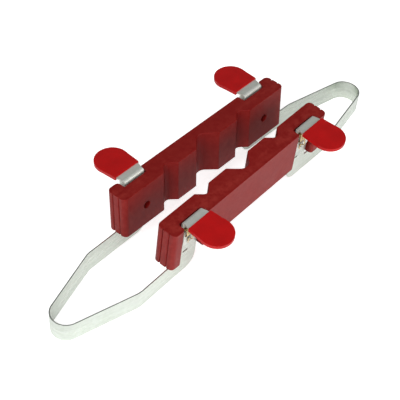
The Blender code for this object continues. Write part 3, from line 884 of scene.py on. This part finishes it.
def makeSpringParts():
    s = spring
    out, high = hinge["pinOut"], hinge["pinHeight"]
    lower = softRoute([(s["start"], s["legOut"], s["legEnd"]),
                       (s["start"], s["legOut"] + 0.2 * mm, s["curlFoot"]),
                       (s["start"], s["curlOut"], s["curlFoot"] + s["curlRise"][0]),
                       (s["start"], s["curlOut"], s["curlFoot"] + s["curlRise"][1]),
                       (s["start"], out + s["radius"], high - 0.6 * mm)], s["bendRadius"])
    coil = []
    for step in range(s["turns"] * s["samples"] + 1):
        turn = 2 * pi * step / s["samples"]
        x = s["start"] + (s["end"] - s["start"]) * step / (s["turns"] * s["samples"])
        coil.append(Vector((x, out + s["radius"] * cos(turn), high + s["radius"] * sin(turn))))
    body = makeWire("torsion spring", lower[:-1] + coil, s["wire"])
    upper = softRoute([(s["end"], out + s["radius"], high),
                       (s["end"], out + s["radius"], s["topLeg"] - 1.0 * mm),
                       (s["end"], out + s["radius"] + s["upperBend"], s["topLeg"])], 0.7 * mm)
    leg = makeWire("spring leg", upper, s["wire"])
    return body, leg


jawPlaces = {row: jawPlace(row) for row in ("rear", "front")}
rear = jawPlaces["rear"]
stand = {"halfGap": rear.translation.y, "height": rear.translation.z,
         "toeIn": -atan2(rear[1][0], rear[0][0]), "splay": -atan2(rear[2][1], rear[2][2])}
print("jaws stand", [round(number, 4) for number in stand.values()])


def setUp(piece, name, place, body, slot, node, look=None):
    copied = copyOf(piece, name)
    copied.matrix_world = place
    applyPlace(copied)
    copied.data.materials.clear()
    copied.data.materials.append(materials[look or slot])
    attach(copied, body)
    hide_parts(node)
    return copied


block = makeJaw()
for row in ("rear", "front"):
    setUp(block, f"{row}_jaw", jawPlaces[row], f"{row}_jaw", "red_nylon", f"{row}_jaw_block")
bpy.data.objects.remove(block)
print("jaw blocks made")

for name, side in (("left", -1), ("right", 1)):
    strip = makeLoop(f"{name}_loop", side, stand, jawPlaces)
    strip.data.materials.clear()
    strip.data.materials.append(materials["spring_steel"])
    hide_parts(f"{name}_spring_loop")
    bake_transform(strip)
print("spring loops made")

springBody, springLeg = makeSpringParts()
shared = (   # piece, its name's end, slot, CAD node's end, on the finger or not, finish
    (makeLever(), "lever", "zinc_steel", "finger_lever", True, None),
    (makeGrip(), "grip", "red_vinyl", "finger_grip", True, None),
    (makeBracket(), "bracket", "zinc_steel", "hinge_bracket", False, None),
    (makePin(), "pin", "zinc_steel", "hinge_pin", False, None),
    (makeScrew(), "screw", "zinc_steel", "fixing_screw", False, None),
    (makeInsert(), "insert", "brass", "threaded_insert", False, None),
    (springBody, "spring", "brass", "torsion_spring", False, "wire"),
    (springLeg, "spring_leg", "brass", "torsion_spring", True, "wire"),
)
for row, facing in (("rear", 1), ("front", -1)):
    for side, way in (("left", -facing), ("right", facing)):
        hingePlace = jawPlaces[row] @ Matrix.Translation((way * jaw["recessX"], 0, 0))
        for piece, label, slot, node, onFinger, look in shared:
            body = f"{row}_{side}_finger" if onFinger else f"{row}_jaw"
            setUp(piece, f"{row}_{side}_{label}", hingePlace, body, slot, f"{row}_{side}_{node}", look)
for piece, *_ in shared:
    bpy.data.objects.remove(piece)
print("fingers, hinges and springs made")


studio = {"floorSize": 8.0, "floorColor": (0.93, 0.93, 0.93, 1), "sky": (1.0, 1.0, 1.0, 1),
          "skyStrength": 0.22, "floorGlow": 0.29, "floorWhite": 0.62,
          # each light: place, size, power
          "lights": (((-0.9, -0.3, 1.3), 1.4, 18.0), ((0.2, -1.4, 0.5), 1.0, 13.0),
                     ((-1.5, -0.2, 0.6), 1.0, 5.5)),
          "camera": (-438.6 * mm, -332.3 * mm, 567.8 * mm), "lens": 108.2, "shift": 0.0018,
          "right": (0.6618, -0.74798, 0.05047), "down": (-0.52247, -0.50845, -0.68448)}


def makeStudio():
    s = studio
    bpy.ops.object.select_all(action="DESELECT")
    bpy.ops.mesh.primitive_plane_add(size=s["floorSize"], location=(0, 0, 0))
    floor = named("floor")
    material, tree, shader, vector = startMaterial("pale floor")
    tone = useGroup(tree, "tone", vector, Cloud_Scale=3.0, Speckle_Scale=200.0, Speckle_Share=0.2)
    pale = s["floorColor"]
    tree.links.new(mixColor(tree, tone, pale, tuple(0.99 * part for part in pale[:3]) + (1,)),
                   shader.inputs["Base Color"])
    shader.inputs["Roughness"].default_value = 0.8
    shader.inputs["Emission Color"].default_value = (1, 1, 1, 1)
    # the floor looks whiter than the light that it throws back on the jaws
    direct = tree.nodes.new("ShaderNodeLightPath").outputs["Is Camera Ray"]
    tree.links.new(remap(tree, direct, 0, 1, s["floorGlow"], s["floorWhite"]),
                   shader.inputs["Emission Strength"])
    floor.data.materials.append(material)
    world = bpy.data.worlds.new("studio")
    world.use_nodes = True
    bpy.context.scene.world = world
    world.node_tree.nodes["Background"].inputs["Color"].default_value = s["sky"]
    world.node_tree.nodes["Background"].inputs["Strength"].default_value = s["skyStrength"]
    for location, size, power in s["lights"]:
        bpy.ops.object.light_add(type="AREA", location=location)
        light = bpy.context.object
        light.data.size = size
        light.data.energy = power
        light.rotation_euler = (-Vector(location)).to_track_quat("-Z", "Y").to_euler()


def makeCamera():
    s = studio
    bpy.ops.object.camera_add()
    camera = bpy.context.object
    camera.data.lens = s["lens"]
    camera.data.sensor_width = 36
    camera.data.shift_x = s["shift"]
    right = Vector(s["right"]).normalized()
    down = Vector(s["down"])
    down = (down - right * right.dot(down)).normalized()
    view = Matrix((right, -down, right.cross(-down))).transposed().to_4x4()
    view.translation = Vector(s["camera"]) + Vector((0, 0, stand["height"]))
    camera.matrix_world = view
    bpy.context.scene.camera = camera


makeStudio()
makeCamera()
bpy.context.scene.view_settings.view_transform = "Standard"
bpy.context.view_layer.update()
